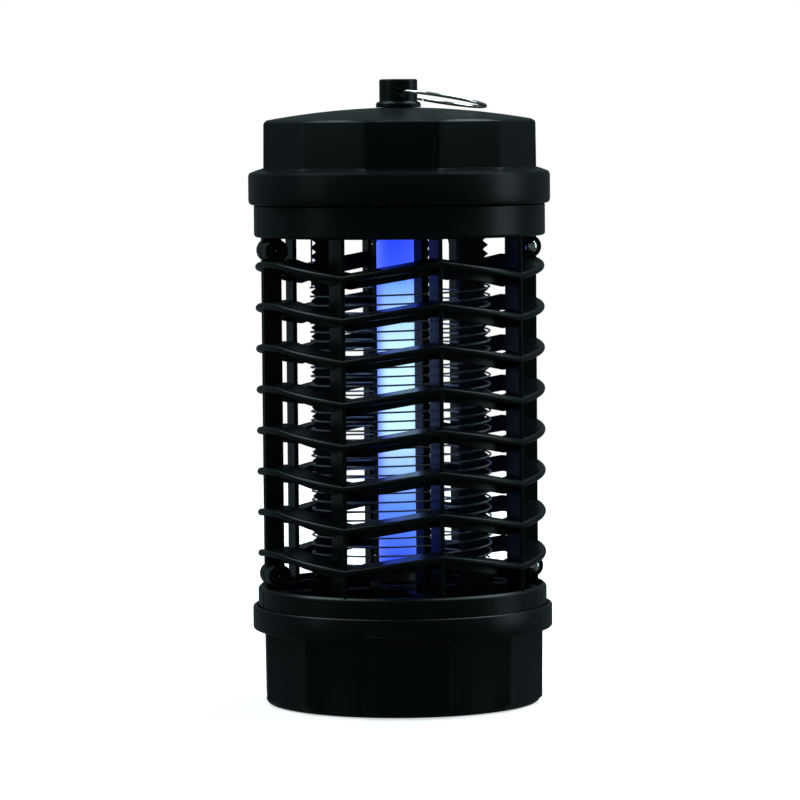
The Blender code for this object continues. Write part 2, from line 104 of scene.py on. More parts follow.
class ZapperShells(bpy.types.PropertyGroup):
    """Cap, tray and cage."""

    wall: length("Wall", "Thickness of the moulded shells", 2.0)
    edge: length("Edge radius", "Rounding of the moulded edges", 0.45)
    dome_radius: length("Dome radius", "Radius of curvature of the cap's top", 300.0)
    tray_turn: angle("Tray turn", "How far the tray stops round from the cap", 1.6)
    plastic: colour("Plastic", "Colour of the moulded shells", (0.0024, 0.0046, 0.0050))
    plastic_worn: colour("Plastic, lighter", "Colour of the plastic's lighter clouds",
                         (0.0056, 0.0088, 0.0092))
    gloss: factor("Roughness", "Mean roughness of the moulded shells", 0.31)


class ZapperGrid(bpy.types.PropertyGroup):
    """Lamp, combs and windings."""

    radius: length("Grid radius", "From the lamp's axis to the middle of the wire", 36.7)
    wire: length("Wire", "Diameter of the grid wire", 0.80)
    lead: length("Lead", "Rise of each winding in one turn", 7.26)
    comb: length("Comb", "Thickness of the combs", 3.0)
    steel: colour("Wire steel", "Colour of the grid wire", (0.68, 0.69, 0.72))
    glow_strength: bpy.props.FloatProperty(name="Glow", description="Brightness of the lit tube",
                                           default=1.15, min=0.0)
    glow_deep: colour("Glow, ends", "Colour of the tube near its ends", (0.030, 0.085, 0.95))
    glow_pale: colour("Glow, middle", "Colour of the tube's bright middle", (0.58, 0.93, 1.0))


class ZapperHanger(bpy.types.PropertyGroup):
    """Stud, ring and screws."""

    ring_wire: length("Ring wire", "Diameter of the ring's wire", 1.44)
    ring_gap: angle("Ring gap", "Angle between the ring's cut ends", 2.0)
    nickel: colour("Nickel", "Colour of the plated parts", (0.46, 0.45, 0.44))
    drive: length("Cross drive", "Width of one arm of the cross recess", 0.62)


class ZapperStage(bpy.types.PropertyGroup):
    """Floor, light and camera."""

    floor: colour("Floor", "Colour of the pale floor", (0.90, 0.90, 0.90))
    camera_lens: bpy.props.FloatProperty(name="Lens", description="Focal length in millimetres",
                                         default=194.3)
    camera_turn: angle("Camera turn", "Bearing of the camera from the front", -16.4)
    camera_distance: length("Camera distance", "Level distance from the object's axis", 1770.0)
    camera_height: length("Camera height", "Height of the camera above the floor", 242.0)
    aim_height: length("Aim height", "Height that the camera looks at", 124.0)


# Shader maths

class Signal:
    """A shader socket that takes part in arithmetic; each operation adds its Math node."""

    def __init__(self, surface, socket):
        self.surface = surface
        self.socket = socket

    def _math(self, operation, first, second):
        return self.surface.node("ShaderNodeMath", {"operation": operation}, {0: first, 1: second})

    def __add__(self, other):
        return self._math("ADD", self, other)

    __radd__ = __add__

    def __sub__(self, other):
        return self._math("SUBTRACT", self, other)

    def __rsub__(self, other):
        return self._math("SUBTRACT", other, self)

    def __mul__(self, other):
        return self._math("MULTIPLY", self, other)

    __rmul__ = __mul__

    def __truediv__(self, other):
        return self._math("DIVIDE", self, other)

    def __pow__(self, other):
        return self._math("POWER", self, other)

    def clamp(self):
        return self.surface.node("ShaderNodeClamp", {}, {0: self})


class Surface:
    """A material with one Principled shader and the nodes that feed it."""

    def __init__(self, name, **constants):
        self.material = bpy.data.materials.new(name)
        self.material.use_nodes = True
        self.tree = self.material.node_tree
        self.shader = self.tree.nodes["Principled BSDF"]
        for socket, value in constants.items():
            self.shader.inputs[socket.replace("_", " ")].default_value = value

    def node(self, kind, settings, inputs, output=0):
        made = self.tree.nodes.new(kind)
        for setting, value in settings.items():
            if setting == "stops":
                self._stops(made.color_ramp, value)
            else:
                setattr(made, setting, value)
        for socket, value in inputs.items():
            if isinstance(value, Signal):
                self.tree.links.new(value.socket, made.inputs[socket])
            else:
                made.inputs[socket].default_value = value
        return Signal(self, made.outputs[output])

    @staticmethod
    def _stops(ramp, stops):
        while len(ramp.elements) < len(stops):
            ramp.elements.new(0.5)
        for element, (position, shade) in zip(ramp.elements, stops):
            element.position = position
            element.color = (*shade, 1.0)

    def feed(self, socket, signal):
        self.tree.links.new(signal.socket, self.shader.inputs[socket])

    def place(self, scale=(1, 1, 1)):
        """Object coordinates in metres, scaled."""
        at = self.node("ShaderNodeTexCoord", {}, {}, "Object")
        return self.node("ShaderNodeMapping", {}, {"Vector": at, "Scale": scale})

    def axis(self, name):
        at = self.node("ShaderNodeTexCoord", {}, {}, "Object")
        return self.node("ShaderNodeSeparateXYZ", {}, {0: at}, name)

    def noise(self, scale, detail=3.0, roughness=0.5, stretch=(1, 1, 1)):
        return self.node("ShaderNodeTexNoise", {}, {"Vector": self.place(stretch), "Scale": scale,
                                                    "Detail": detail, "Roughness": roughness}, 0)

    def blend(self, share, first, second):
        return self.node("ShaderNodeMix", {"data_type": "RGBA"},
                         {0: share, 6: self._colour(first), 7: self._colour(second)}, 2)

    @staticmethod
    def _colour(value):
        return value if isinstance(value, Signal) else (*value, 1.0)

    def bump(self, height, distance, strength=1.0):
        inputs = {"Height": height, "Distance": distance, "Strength": strength}
        self.feed("Normal", self.node("ShaderNodeBump", {}, inputs, "Normal"))


def found_or(make):
    """Keep one material for each finish, made the first time that it is asked for."""
    def once():
        return bpy.data.materials.get(make.__name__) or make().material
    return once


@found_or
def moulded_black():
    """Satin black plastic with the fine grain of a spark-eroded mould and faint clouding."""
    shells = bpy.context.scene.zapper_shells
    made = Surface("moulded_black", Specular_IOR_Level=0.17)
    cloud = made.noise(26.0, 4.0)
    flow = made.noise(55.0, 2.0, stretch=(1, 1, 0.12))
    grain = made.noise(2600.0, 2.0, 0.6)
    made.feed("Base Color", made.blend((cloud * 1.6 - 0.3).clamp(), shells.plastic, shells.plastic_worn))
    made.feed("Roughness", (shells.gloss - 0.09) + cloud * 0.08 + flow * 0.10)
    made.bump(grain + flow * 0.5, 0.00003, 0.55)
    return made


@found_or
def comb_black():
    """Matt black insulating plastic of the combs and decks, dusty in its clouds."""
    made = Surface("comb_black", Specular_IOR_Level=0.25)
    cloud = made.noise(60.0, 5.0)
    grain = made.noise(1900.0, 2.0)
    made.feed("Base Color", made.blend(cloud, (0.0030, 0.0040, 0.0044), (0.0075, 0.0090, 0.0095)))
    made.feed("Roughness", 0.46 + cloud * 0.16)
    made.bump(grain, 0.00004, 0.6)
    return made


@found_or
def holder_black():
    """Phenolic of the lamp holders and end caps, with a pressed speckle."""
    made = Surface("holder_black", IOR=1.55)
    speckle = made.noise(900.0, 3.0)
    made.feed("Base Color", made.blend(speckle, (0.012, 0.013, 0.015), (0.034, 0.035, 0.039)))
    made.feed("Roughness", 0.40 + speckle * 0.2)
    made.bump(speckle, 0.00005, 0.5)
    return made


@found_or
def nickel_plate():
    """Bright plated wire and screws: drawn lines, small tarnish."""
    hanger = bpy.context.scene.zapper_hanger
    made = Surface("nickel_plate", Metallic=1.0)
    tarnish = made.noise(240.0, 5.0)
    lines = made.noise(1500.0, 2.0, stretch=(1, 1, 0.08))
    dull = [part * 0.62 for part in hanger.nickel]
    made.feed("Base Color", made.blend((tarnish * 1.8 - 0.5).clamp(), hanger.nickel, dull))
    made.feed("Roughness", 0.22 + tarnish * 0.14 + lines * 0.06)
    made.bump(lines, 0.00002, 0.5)
    return made


@found_or
def grid_steel():
    """Drawn steel wire with a greyer skin in patches."""
    grid = bpy.context.scene.zapper_grid
    made = Surface("grid_steel", Metallic=1.0)
    skin = made.noise(420.0, 4.0)
    dull = [part * 0.55 for part in grid.steel]
    made.feed("Base Color", made.blend((skin * 1.7 - 0.4).clamp(), grid.steel, dull))
    made.feed("Roughness", 0.22 + skin * 0.16)
    made.bump(skin, 0.00002, 0.5)
    return made


@found_or
def lit_glass():
    """The lamp's tube: deep blue at both ends, nearly white along its bright middle, with painted
    deeper-blue shade down its left and right sides.
    """
    grid = bpy.context.scene.zapper_grid
    low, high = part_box("lamp_tube")
    centre = (low.x + high.x) / 2
    radius = (high.x - low.x) / 2
    made = Surface("lit_glass", Roughness=0.12, Emission_Strength=grid.glow_strength)
    along = (made.axis("Z") - low.z) / (high.z - low.z)
    pale = [0.35 * deep + 0.65 * bright for deep, bright in zip(grid.glow_deep, grid.glow_pale)]
    glow = made.node("ShaderNodeValToRGB", {"stops": (
        (0.00, (0.02, 0.05, 0.80)), (0.07, (0.05, 0.14, 0.95)), (0.18, (0.10, 0.26, 1.0)),
        (0.34, pale), (0.42, grid.glow_pale), (0.66, grid.glow_pale), (0.78, (0.36, 0.62, 1.0)),
        (0.86, (0.16, 0.36, 1.0)), (0.90, grid.glow_deep), (1.00, (0.02, 0.05, 0.85)))},
        {"Fac": along})
    # Painted shade: the sides along X, which are the tube's left and right edges seen from the front, are
    # blended to a deeper blue.
    side = (made.axis("X") - centre) / radius
    edge = (side * side) ** 3.0
    rim = made.blend((edge * 0.85).clamp(), glow, (0.10, 0.16, 1.0))
    mottle = made.noise(180.0, 3.0)
    made.feed("Emission Color", made.blend(mottle * 0.10, rim, grid.glow_deep))
    made.feed("Base Color", made.blend(mottle, (0.30, 0.45, 0.95), (0.55, 0.70, 1.0)))
    made.bump(mottle, 0.00002, 0.3)
    return made


@found_or
def solder_mask():
    """Green lacquer over copper tracks."""
    made = Surface("solder_mask", IOR=1.5)
    weave = made.node("ShaderNodeTexBrick", {}, {"Vector": made.place(), "Scale": 240.0,
                                                 "Mortar Size": 0.03}, "Fac")
    cloud = made.noise(90.0, 3.0)
    made.feed("Base Color", made.blend(cloud * 0.5 + weave * 0.3, (0.012, 0.090, 0.040),
                                       (0.030, 0.170, 0.070)))
    made.feed("Roughness", 0.28 + cloud * 0.15)
    made.bump(weave, 0.00003, 0.6)
    return made


def lacquer(name, dark, light, rough):
    made = Surface(name, IOR=1.5)
    cloud = made.noise(300.0, 4.0)
    made.feed("Base Color", made.blend(cloud, dark, light))
    made.feed("Roughness", rough + cloud * 0.12)
    made.bump(cloud, 0.00006, 0.5)
    return made


@found_or
def film_orange():
    """Dipped coating of the film capacitors."""
    return lacquer("film_orange", (0.36, 0.085, 0.020), (0.52, 0.150, 0.045), 0.28)


@found_or
def sleeve_blue():
    """Shrunk sleeve and moulded terminals."""
    return lacquer("sleeve_blue", (0.020, 0.050, 0.20), (0.045, 0.100, 0.32), 0.30)


@found_or
def part_black():
    """Moulded bodies of small electronic parts."""
    return lacquer("part_black", (0.012, 0.012, 0.014), (0.026, 0.026, 0.029), 0.42)


# Mesh helpers

def put_piece(name, bm, finish, body, replaces=(), edge=0.0, segments=3):
    """Make a piece of a bmesh in millimetres: in metres at the origin, faces out, riding on its body."""
    bmesh.ops.remove_doubles(bm, verts=bm.verts, dist=1e-4)
    bmesh.ops.recalc_face_normals(bm, faces=bm.faces)
    bmesh.ops.scale(bm, vec=(MM, MM, MM), verts=bm.verts)
    mesh = bpy.data.meshes.new(name)
    bm.to_mesh(mesh)
    bm.free()
    mesh.shade_smooth()
    mesh.set_sharp_from_angle(angle=FOLD)
    mesh.materials.append(finish)
    piece = bpy.data.objects.new(name, mesh)
    bpy.context.scene.collection.objects.link(piece)
    if edge:
        rounding = piece.modifiers.new("edges", "BEVEL")
        rounding.width = edge * MM
        rounding.segments = segments
        rounding.limit_method = "ANGLE"
        rounding.angle_limit = CREASE
    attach(piece, body)
    if replaces:
        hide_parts(*replaces)
    return piece


def cut(bm, cutter):
    """Subtract one closed bmesh from another and give back the result."""
    scraps = []
    for role, shape in (("stock", bm), ("cutter", cutter)):
        bmesh.ops.remove_doubles(shape, verts=shape.verts, dist=1e-4)
        bmesh.ops.recalc_face_normals(shape, faces=shape.faces)
        mesh = bpy.data.meshes.new(role)
        shape.to_mesh(mesh)
        shape.free()
        scraps.append(bpy.data.objects.new(role, mesh))
        bpy.context.scene.collection.objects.link(scraps[-1])
    stock, tool = scraps
    step = stock.modifiers.new("cut", "BOOLEAN")
    step.object = tool
    step.operation = "DIFFERENCE"
    step.solver = "EXACT"
    graph = bpy.context.evaluated_depsgraph_get()
    result = bmesh.new()
    result.from_object(stock, graph)
    for scrap in scraps:
        mesh = scrap.data
        bpy.data.objects.remove(scrap)
        bpy.data.meshes.remove(mesh)
    return result


def at_bearing(radius, bearing, z=0.0):
    angle = math.radians(bearing)
    return Vector((radius * math.sin(angle), -radius * math.cos(angle), z))


def turned(bm, outline, steps=ROUND_STEPS, closed=True):
    """Spin an outline of (radius, height) pairs round Z. An open outline starts and ends on the axis."""
    points = [bm.verts.new((0.0, -r, z)) for r, z in outline]
    pairs = list(zip(points, points[1:]))
    if closed:
        pairs.append((points[-1], points[0]))
    edges = [bm.edges.new(pair) for pair in pairs]
    made = bmesh.ops.spin(bm, geom=points + edges, cent=(0, 0, 0), axis=(0, 0, 1),
                          angle=math.tau, steps=steps, use_merge=True)
    return points + [item for item in made["geom_last"] if isinstance(item, bmesh.types.BMVert)]


def carried(bm, face, steps, move):
    """Extrude a face step by step, where move(step, verts) places the vertices of each new one."""
    for step in range(steps):
        moved = bmesh.ops.extrude_face_region(bm, geom=[face])["geom"]
        if step:
            bm.faces.remove(face)
        face = next(item for item in moved if isinstance(item, bmesh.types.BMFace))
        move(step, face.verts)


def swept(bm, section, stations, rise=lambda bearing: 0.0):
    """Carry a section of (radius, height) pairs round Z from bearing to bearing, lifted by rise()."""
    def move(step, verts):
        before, after = stations[step], stations[step + 1]
        bmesh.ops.rotate(bm, verts=verts, matrix=Matrix.Rotation(math.radians(after - before), 3, "Z"))
        bmesh.ops.translate(bm, verts=verts, vec=(0, 0, rise(after) - rise(before)))

    first = stations[0]
    face = bm.faces.new([bm.verts.new((0.0, -r, z + rise(first))) for r, z in section])
    bmesh.ops.rotate(bm, verts=face.verts, matrix=Matrix.Rotation(math.radians(first), 3, "Z"))
    carried(bm, face, len(stations) - 1, move)


def flatten_sides(bm, chosen, turn=0.0):
    """Move round vertices onto a twelve-sided prism with a corner at the angle `turn`."""
    half = math.pi / SIDES
    for vert in bm.verts:
        radius = math.hypot(vert.co.x, vert.co.y)
        if radius > 1.0 and chosen(radius, vert.co.z):
            within = (math.atan2(vert.co.x, -vert.co.y) - turn) % (2 * half) - half
            pull = math.cos(half) / math.cos(within)
            vert.co.x *= pull
            vert.co.y *= pull


def block(bm, low, high):
    centre = [(a + b) / 2 for a, b in zip(low, high)]
    size = [b - a for a, b in zip(low, high)]
    bmesh.ops.create_cube(bm, size=1.0, matrix=Matrix.Translation(centre) @ Matrix.Diagonal((*size, 1)))


def rod(bm, start, end, radius, steps=SMALL_STEPS):
    """A closed round bar from one point to another."""
    start, end = Vector(start), Vector(end)
    along = end - start
    place = Matrix.Translation((start + end) / 2) @ along.to_track_quat("Z", "Y").to_matrix().to_4x4()
    bmesh.ops.create_cone(bm, cap_ends=True, segments=steps, radius1=radius, radius2=radius,
                          depth=along.length, matrix=place)


def slab(bm, outline, thickness):
    """Extrude an outline of (x, z) pairs through Y, centred on Y = 0."""
    face = bm.faces.new([bm.verts.new((x, -thickness / 2, z)) for x, z in outline])
    moved = bmesh.ops.extrude_face_region(bm, geom=[face])["geom"]
    verts = [item for item in moved if isinstance(item, bmesh.types.BMVert)]
    bmesh.ops.translate(bm, verts=verts, vec=(0, thickness, 0))
    return list(face.verts) + verts


def bored(bm, centre, start, end, radius, bore):
    """A round boss with a hole along Y."""
    outline = [(bore, start), (radius, start), (radius, end), (bore, end)]
    verts = turned(bm, outline, SMALL_STEPS)
    fresh = set(verts)
    grown = set()
    while fresh:
        grown |= fresh
        fresh = {edge.other_vert(v) for v in fresh for edge in v.link_edges} - grown
    bmesh.ops.rotate(bm, verts=list(grown), matrix=Matrix.Rotation(math.radians(90), 3, "X"))
    bmesh.ops.translate(bm, verts=list(grown), vec=(centre[0], 0, centre[1]))


# Cap and hanger

RIM_R = 61.8             # round rims of the cap and the tray
CAP_CORNER_R = 57.4      # corner radius of the twelve-sided cap
CAP_BOSS_DROP = 2.1      # the screw bosses inside the cap reach this far below its rim
CAP_RIM = 13.3           # height of the cap's round rim
CAP_FLAT_TOP_Z = 237.5   # top edge of the cap's flats
INLET_BEARING = 195
INLET_Z = 226.0
INLET_HOLE_R = 4.9
STUD_SHANK = 0.424       # radius of the stud's shank over that of its foot
STUD_HOLE = 0.47         # and of the hole for it in the dome
RING_R = 18.8
RING_STEPS = 120         # facets round the ring
RING_SAG = 1.1           # the joint's axis lies this far inside the wire's middle
RING_LIE = (-2.1, 10.0, -5.0)
RING_SPLIT = 100         # bearing of the ring's cut ends before it is laid down


def dome_height(radius):
    crown = corners("top_cap")[1].z
    return crown - radius ** 2 / (2 * bpy.context.scene.zapper_shells.dome_radius / MM)


def make_cap():
    shells = bpy.context.scene.zapper_shells
    wall = shells.wall / MM
    bottom = corners("top_cap")[0].z + CAP_BOSS_DROP
    rim_top = bottom + CAP_RIM
    shank_hole = (corners("hanger_stud")[1].x - corners("hanger_stud")[0].x) / 2 * STUD_HOLE
    lip = CAP_CORNER_R - 1.5
    outside = [(RIM_R - wall, bottom), (RIM_R - 1.2, bottom), (RIM_R - 0.3, bottom + 0.6),
               (RIM_R, bottom + 1.8), (RIM_R, rim_top - 1.6), (RIM_R - 0.5, rim_top - 0.4),
               (RIM_R - 1.4, rim_top), (CAP_CORNER_R + 0.6, rim_top + 0.9), (CAP_CORNER_R, rim_top + 1.6),
               (CAP_CORNER_R - 0.2, CAP_FLAT_TOP_Z), (CAP_CORNER_R - 0.5, CAP_FLAT_TOP_Z + 0.7),
               (lip, dome_height(lip))]
    rings = (53.5, 49.0, 42.0, 34.0, 26.0, 18.0, 11.0, shank_hole)
    outside += [(r, dome_height(r)) for r in rings]
    inside = [(r, dome_height(r) - wall) for r in reversed(rings[1:])]
    inside += [(lip - 1.1, CAP_FLAT_TOP_Z - 1.4), (lip - 1.1, rim_top - wall),
               (RIM_R - wall, rim_top - 2 * wall)]
    bm = bmesh.new()
    turned(bm, outside + inside)
    flatten_sides(bm, lambda r, z: 50.0 < r < 58.0 and z > bottom + 8)
    for vert in bm.verts:
        radius = math.hypot(vert.co.x, vert.co.y)
        if vert.co.z > CAP_FLAT_TOP_Z + 0.9 and 50.0 < radius < lip + 0.01:
            vert.co.z = dome_height(radius)
    hole = bmesh.new()
    rod(hole, *(at_bearing(radius, INLET_BEARING, INLET_Z) for radius in (45, 70)), INLET_HOLE_R)
    put_piece("cap_shell", cut(bm, hole), moulded_black(), "housing", ["top_cap"],
              shells.edge / MM)


def make_inlet_bush():
    """Ribbed bush for the mains lead, in the rear flat of the cap."""
    outline = [(3.0, -5.0), (4.5, -5.0), (4.5, 0.3), (6.8, 0.3), (6.8, 1.0), (6.3, 1.4), (5.9, 2.1),
               (5.2, 2.4), (3.4, 2.4), (3.0, 2.0)]
    bm = bmesh.new()
    turned(bm, outline, SMALL_STEPS)
    bmesh.ops.rotate(bm, verts=bm.verts, matrix=Matrix.Rotation(math.radians(90), 3, "X"))
    bmesh.ops.rotate(bm, verts=bm.verts, matrix=Matrix.Rotation(math.radians(INLET_BEARING), 3, "Z"))
    flat = CAP_CORNER_R * math.cos(math.pi / SIDES)
    bmesh.ops.translate(bm, verts=bm.verts, vec=at_bearing(flat, INLET_BEARING, INLET_Z))
    put_piece("inlet_bush", bm, part_black(), "housing", ["cord_inlet_bush"], 0.25)


def ring_axis():
    joint = next(j for j in frame["joints"] if j["name"] == "ring_swing")
    return Vector(joint["pos_m"]) / MM


def make_hanger_stud():
    low, high = corners("hanger_stud")
    foot_r = (high.x - low.x) / 2
    foot = dome_height(foot_r) + 0.08
    axis_z = ring_axis().z
    head_r = foot_r - 1.4
    shank_r = foot_r * STUD_SHANK
    outline = [(0, low.z), (shank_r, low.z), (shank_r, foot), (foot_r, foot), (foot_r, foot + 1.6),
               (foot_r - 0.5, foot + 2.2), (head_r + 0.3, foot + 2.3), (head_r, foot + 2.7),
               (head_r, high.z - 0.7), (head_r - 0.2, high.z - 0.2), (head_r - 0.8, high.z), (0, high.z)]
    bm = bmesh.new()
    turned(bm, outline, 64, closed=False)
    hole = bmesh.new()
    rod(hole, (0, -12, axis_z), (0, 12, axis_z), 2.2, 24)
    put_piece("hanger_post", cut(bm, hole), moulded_black(), "housing", ["hanger_stud"],
              0.25)


def make_ring():
    """Bent wire ring whose cut ends nearly meet at its far side."""
    hanger = bpy.context.scene.zapper_hanger
    wire_r = hanger.ring_wire / 2 / MM
    section = Matrix.Translation((RING_R, 0, 0)) @ Matrix.Rotation(math.pi / 2, 4, "X")
    bm = bmesh.new()
    bmesh.ops.create_circle(bm, cap_ends=True, segments=16, radius=wire_r, matrix=section)
    face = next(iter(bm.faces))
    gap = hanger.ring_gap
    bmesh.ops.rotate(bm, verts=bm.verts,
                     matrix=Matrix.Rotation(math.radians(RING_SPLIT) + gap / 2, 3, "Z"))
    turn = Matrix.Rotation((math.tau - gap) / RING_STEPS, 3, "Z")
    carried(bm, face, RING_STEPS, lambda step, verts: bmesh.ops.rotate(bm, verts=verts, matrix=turn))
    bmesh.ops.translate(bm, verts=bm.verts, vec=(RING_R - RING_SAG, 0, 0))
    roll, pitch, yaw = (math.radians(angle) for angle in RING_LIE)
    lie = Matrix.Rotation(yaw, 3, "Z") @ Matrix.Rotation(pitch, 3, "Y") @ Matrix.Rotation(roll, 3, "X")
    bmesh.ops.rotate(bm, verts=bm.verts, matrix=lie)
    bmesh.ops.translate(bm, verts=bm.verts, vec=ring_axis())
    put_piece("wire_ring", bm, nickel_plate(), "ring", ["hanging_ring"], 0.2, 2)


# Cage

CAGE_R = 59.6
COLLAR_R = 59.3
CAGE_WALL = 2.0
LEDGE = 2.0              # thickness of the ledge in the collar
SKIRT_HEIGHT = 12.9
COLLAR_HEIGHT = 15.3
SPIDER_SEAT = 4.3        # from the top of the spider's arms down to the ledge that it rests on
FIN_R = 59.3
FIN_INNER_R = 48.6
FIN_COUNT = 8
FIN_PITCH = 16.8
FIN_LOW_Z = 58.6
FIN_WAVE = ((-90, 5.0), (-75, 5.0), (-40, 0.0), (0, 5.9), (40, 0.0), (90, 5.0))
FIN_STEP = 2.5
FIN_BEAD_R = 1.5         # round bead along a fin's outer edge
FIN_BEAD_Z = -0.45
FIN_ROOT = (-4.9, 1.9)   # lower and upper side of a fin at its inner edge
FIN_RIB = 1.8            # thickness of the rib there
FIN_PLATE = 2.4
POST_X = ((-37.0, -0.3, 37.2), (-34.6, -0.3, 37.2))     # in the front and in the rear half
POST_R = (58.5, 54.0)    # how far out the posts reach in each half
GUSSET = (4.0, 7.0)      # width and depth of the web at the head of one rear post
POST_THICK = 1.8
POST_REACH = 4.0
POST_FOOT = 3.2          # height of the rear posts' feet, which join the collar
PARTING_INNER_R = 50.6
PARTING_THICK = 1.9
LUG_X = 54.4
LUG_R = 4.8
LUG_Z = (54.2, 186.4)
SCREW_HOLE_R = 1.65


def fin_rise(bearing):
    """Height of the folded fins above their low points at a bearing of the front half."""
    for (start, low), (end, high) in zip(FIN_WAVE, FIN_WAVE[1:]):
        if bearing <= end:
            return low + (high - low) * (bearing - start) / (end - start)
    return FIN_WAVE[-1][1]


def fin_stations():
    count = int(180 / FIN_STEP)
    return [-90 + FIN_STEP * k for k in range(count + 1)]


def add_fins(bm):
    """Fins with a round bead outside, a top that rises inwards and a rib under the inner edge."""
    centre_r = FIN_R - FIN_BEAD_R
    bead = [(centre_r + FIN_BEAD_R * math.cos(a), FIN_BEAD_Z + FIN_BEAD_R * math.sin(a))
            for a in (math.radians(120 - 30 * k) for k in range(9))]
    low, high = FIN_ROOT
    section = [(FIN_INNER_R, low), (FIN_INNER_R, high)] + bead
    section += [(FIN_INNER_R + FIN_RIB, high - FIN_PLATE), (FIN_INNER_R + FIN_RIB, low)]
    for level in range(FIN_COUNT):
        lift = FIN_LOW_Z + FIN_PITCH * level
        swept(bm, [(r, z + lift) for r, z in section], fin_stations(), fin_rise)


def add_skirt_and_collar(bm, half):
    low, high = half[0].z, half[1].z
    rounds = [-90 + 2.5 * k for k in range(73)]
    ledge = corners("upper_deck")[0].z - 0.3
    inner = CAGE_R - CAGE_WALL
    skirt_low = high - SKIRT_HEIGHT
    swept(bm, [(inner, high), (CAGE_R, high), (CAGE_R, skirt_low + 0.8), (CAGE_R - 0.8, skirt_low),
               (inner, skirt_low), (inner, ledge - 2.2), (51.0, ledge - 2.2), (51.0, ledge),
               (inner, ledge)], rounds)
    ledge = corners("lower_spider")[1].z - SPIDER_SEAT
    inner = COLLAR_R - CAGE_WALL
    top = low + COLLAR_HEIGHT
    swept(bm, [(inner, low), (inner, ledge - LEDGE), (52.5, ledge - LEDGE), (52.5, ledge), (inner, ledge),
               (inner, top), (COLLAR_R - 1.2, top), (COLLAR_R, top - 1.2), (COLLAR_R, low)], rounds)
    swept(bm, [(COLLAR_R - 0.5, top - 6.2), (COLLAR_R + 0.25, top - 6.2), (COLLAR_R + 0.25, top - 4.4),
               (COLLAR_R - 0.5, top - 4.4)], (-8.2, -7.2))
    return top, skirt_low


def add_posts(bm, low, high, number):
    reach = POST_R[number]
    for x in POST_X[number]:
        outer = -math.sqrt(reach ** 2 - x ** 2)
        inner = POST_REACH - math.sqrt(FIN_INNER_R ** 2 - x ** 2)
        block(bm, (x - POST_THICK / 2, outer, low), (x + POST_THICK / 2, inner, high))
        if number:
            foot = -math.sqrt((COLLAR_R - 1.0) ** 2 - x ** 2)
            half = POST_THICK / 2 - 0.1
            block(bm, (x - half, foot, low + 0.1), (x + half, outer + 1.0, low + POST_FOOT))
    if number:
        add_gusset(bm, POST_X[number][0], high)
    for side in (-1, 1):
        ends = sorted((side * PARTING_INNER_R, side * (FIN_R - 1.0)))
        block(bm, (ends[0], -PARTING_THICK, low), (ends[1], 0, high))


def add_gusset(bm, x, high):
    """A slanting web that ties the head of a post to the skirt."""
    width, depth = GUSSET
    outer = -math.sqrt(POST_R[1] ** 2 - x ** 2)
    web = slab(bm, [(outer + 1.0, high - 1.0 - depth), (outer + 1.0, high), (outer - width, high),
                    (outer - width, high - 1.0)], POST_THICK - 0.2)
    bmesh.ops.rotate(bm, verts=web, matrix=Matrix.Rotation(math.pi / 2, 3, "Z"))
    bmesh.ops.translate(bm, verts=web, vec=(x, 0, 0))


def make_cage():
    """Both halves: alike but for their posts, with the second turned half way round."""
    shells = bpy.context.scene.zapper_shells
    for number, node in enumerate(("cage_front", "cage_rear")):
        half = corners(node)
        bm = bmesh.new()
        top, skirt_low = add_skirt_and_collar(bm, half)
        add_fins(bm)
        add_posts(bm, top - 1.0, skirt_low + 1.0, number)
        for z in LUG_Z:
            bored(bm, (LUG_X, z), 0.0, 6.0, LUG_R, SCREW_HOLE_R)
            bored(bm, (-LUG_X, z), 0.0, 9.0, LUG_R, SCREW_HOLE_R)
        bmesh.ops.translate(bm, verts=bm.verts, vec=(0, -0.15, 0))
        bmesh.ops.rotate(bm, verts=bm.verts, matrix=Matrix.Rotation(math.pi * number, 3, "Z"))
        put_piece(node + "_half", bm, moulded_black(), "housing", [node], 0.4)


# Fasteners

SCREW_HEAD = 1.9         # height of a screw's head
SMALL_HEAD_R = 2.5       # screws with a smaller head than this have the thin shank
SHANK_R = (0.72, 1.3)


def screw_mesh(long, shank_r, head_r, head, drive):
    """Pan-head screw with a cross recess: +Z points out of its head, whose underside is the origin."""
    pitch = 1.0
    outline = [(0, -long), (shank_r * 0.35, -long + 0.4)]
    z = -long + 1.2
    while z < -pitch:
        outline += [(shank_r * 0.78, z), (shank_r, z + pitch / 2)]
        z += pitch
    outline += [(shank_r * 0.78, -0.4), (shank_r * 0.78, 0), (head_r, 0), (head_r, head * 0.28)]
    outline += [(head_r * math.cos(a), head * (0.28 + 0.72 * math.sin(a))) for a in
                (math.radians(15 * k) for k in range(1, 6))]
    outline.append((0, head))
    bm = bmesh.new()
    turned(bm, outline, 24, closed=False)
    recess = bmesh.new()
    reach = head_r * 0.56
    half = drive / 2
    arms = [(-half, -reach), (half, -reach), (half, -half), (reach, -half), (reach, half), (half, half),
            (half, reach), (-half, reach), (-half, half), (-reach, half), (-reach, -half), (-half, -half)]
    face = recess.faces.new([recess.verts.new((x, y, head * 0.25)) for x, y in arms])
    moved = bmesh.ops.extrude_face_region(recess, geom=[face])["geom"]
    verts = [item for item in moved if isinstance(item, bmesh.types.BMVert)]
    bmesh.ops.translate(recess, verts=verts, vec=(0, 0, head))
    bmesh.ops.scale(recess, verts=verts, vec=(1.25, 1.25, 1.0))
    return cut(bm, recess)


